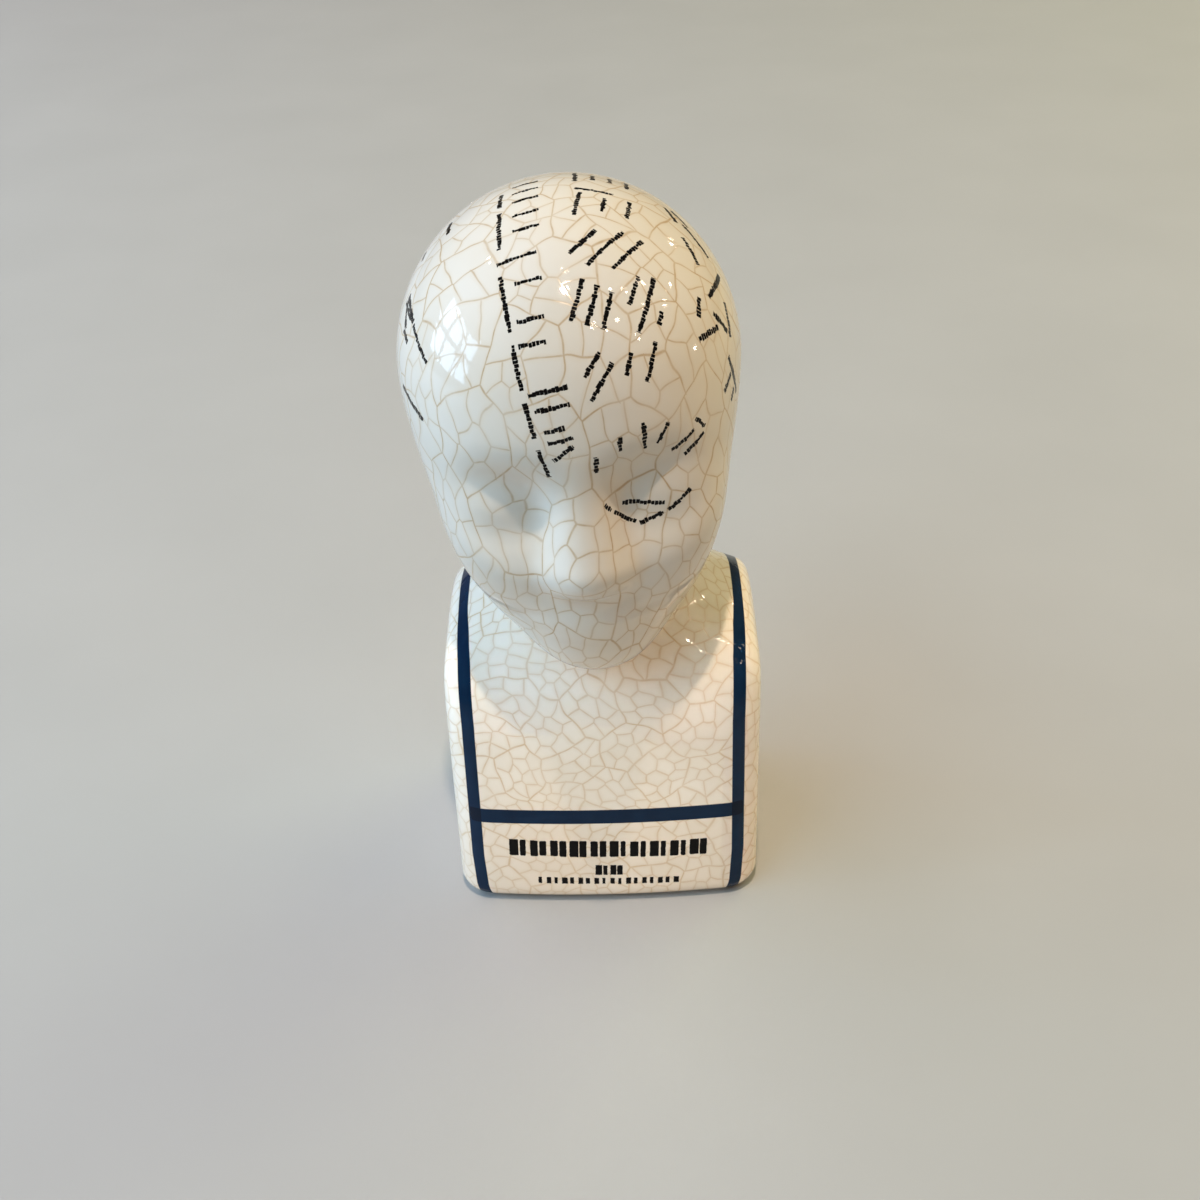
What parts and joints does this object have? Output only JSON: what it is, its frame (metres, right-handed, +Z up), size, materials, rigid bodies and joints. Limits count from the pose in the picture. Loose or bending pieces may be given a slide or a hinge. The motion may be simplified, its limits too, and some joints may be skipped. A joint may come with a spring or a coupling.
{
  "type": "phrenology head",
  "caption": "Small glazed ceramic phrenology head: bald head with calm blank face and closed lids on a squared bust base with painted bands and label rows.",
  "frame": {"origin": "centre of the overall box, on the flat underside", "axes": "+Z up from the underside to the crown, -Y the way the face looks, +X towards the bust's own left side"},
  "size_m": [0.0652, 0.0754, 0.1401],
  "materials": {
    "crackle_glaze": "glossy ivory crackle glaze"
  },
  "bodies": {
    "root": {"phrenology_bust": "crackle_glaze"}
  },
  "joints": []
}
